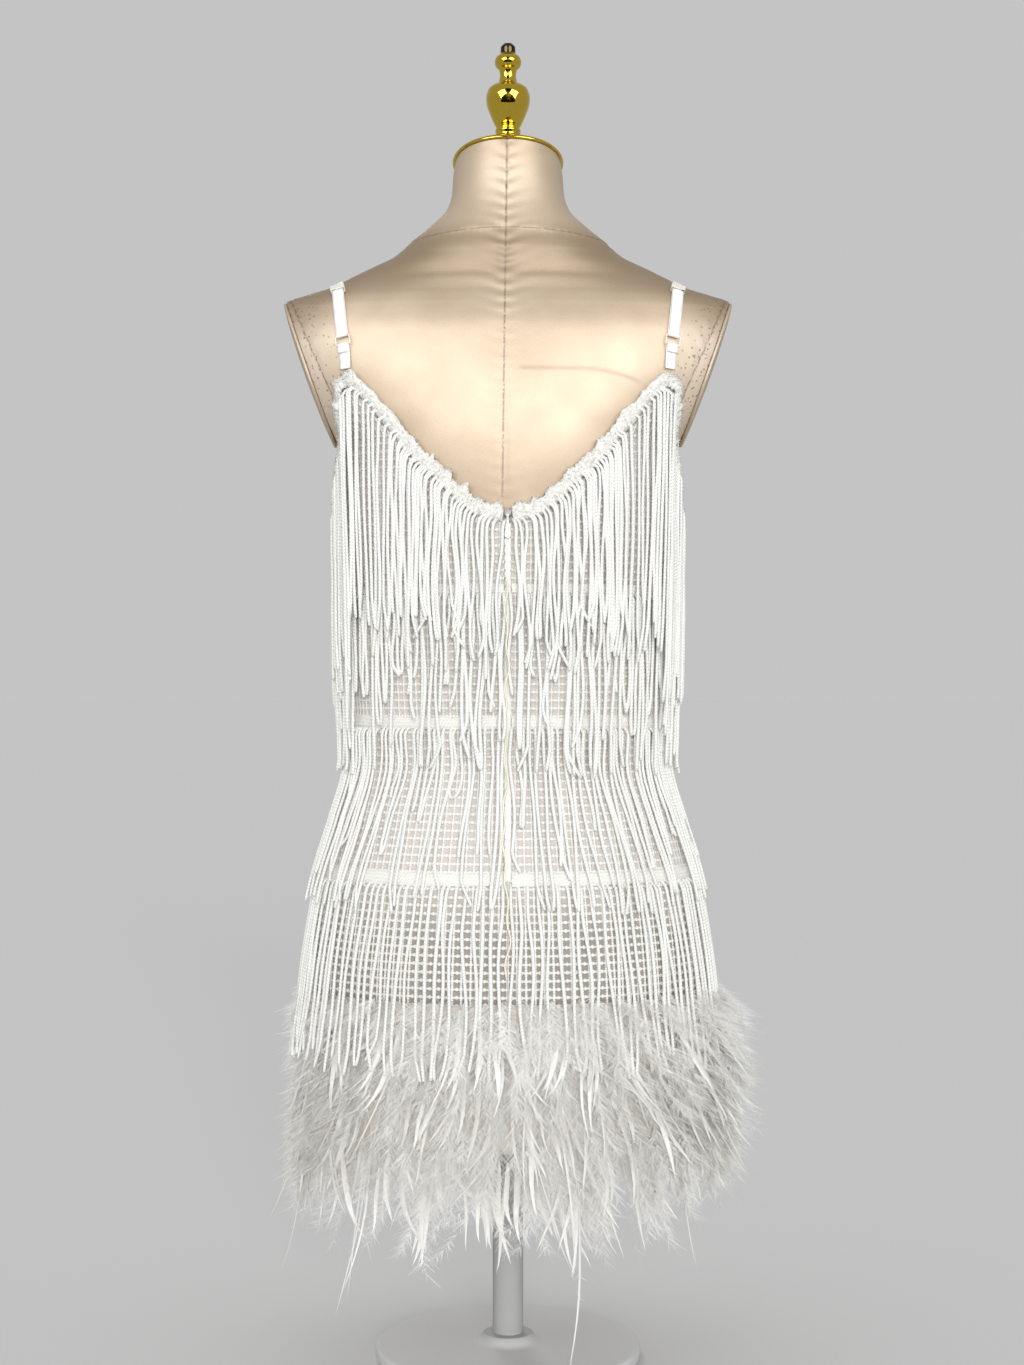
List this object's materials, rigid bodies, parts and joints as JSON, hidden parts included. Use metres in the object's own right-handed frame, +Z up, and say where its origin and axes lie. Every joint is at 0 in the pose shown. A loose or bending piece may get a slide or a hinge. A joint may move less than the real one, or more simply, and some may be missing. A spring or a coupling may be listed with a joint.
{
  "type": "feather mini dress on a limbless dress form",
  "caption": "Sleeveless fringed mini dress with a low V back, thin straps, a centre back zip and a feather hem, standing on a limbless dress form with a round base.",
  "frame": {"origin": "centre of the stand's underside, on the axis of its pole", "axes": "+Z up, -Y to the front of the dress, +Y to its back with the zip, +X to the wearer's left"},
  "size_m": [0.4072, 0.3222, 1.076],
  "materials": {
    "knit": "open ivory knit over a sheer lining",
    "lining": "sheer ivory tulle",
    "fringe": "knitted ivory chain cord",
    "feather": "soft off-white feather",
    "strap": "white satin elastic",
    "enamel": "cream enamel",
    "slider": "dull grey metal",
    "form_satin": "champagne satin stretched over foam",
    "gold": "polished gold",
    "steel": "pale satin paint"
  },
  "bodies": {
    "dress_on_form": {"shell_front": "knit", "shell_back_left": "knit", "shell_back_right": "knit", "underskirt_front": "lining", "underskirt_back": "lining", "fringe_neck_back_left": "fringe", "fringe_neck_back_right": "fringe", "fringe_neck_front": "fringe", "fringe_armhole_left": "fringe", "fringe_armhole_right": "fringe", "fringe_tier_bust": "fringe", "fringe_tier_waist": "fringe", "fringe_tier_hip": "fringe", "feathers_upper": "feather", "feathers_middle": "feather", "feathers_lower": "feather", "strap_short_left": "strap", "strap_short_right": "strap", "strap_long_left": "strap", "strap_long_right": "strap", "strap_ring_left": "enamel", "strap_ring_right": "enamel", "strap_slide_left": "enamel", "strap_slide_right": "enamel", "zip_chain": "enamel", "zip_slider": "slider", "form_torso": "form_satin", "arm_plate_left": "form_satin", "arm_plate_right": "form_satin", "neck_cap": "gold", "finial": "gold", "stand_pole": "steel", "stand_base": "steel"},
    "pull_tab": {"zip_pull": "enamel"}
  },
  "joints": [
    {"name": "zip_pull_swing", "type": "hinge", "parent": "dress_on_form", "child": "pull_tab", "pos_m": [0, 0.10692, 0.678], "axis": [1, 0, 0], "range_deg": [0, 150]}
  ]
}
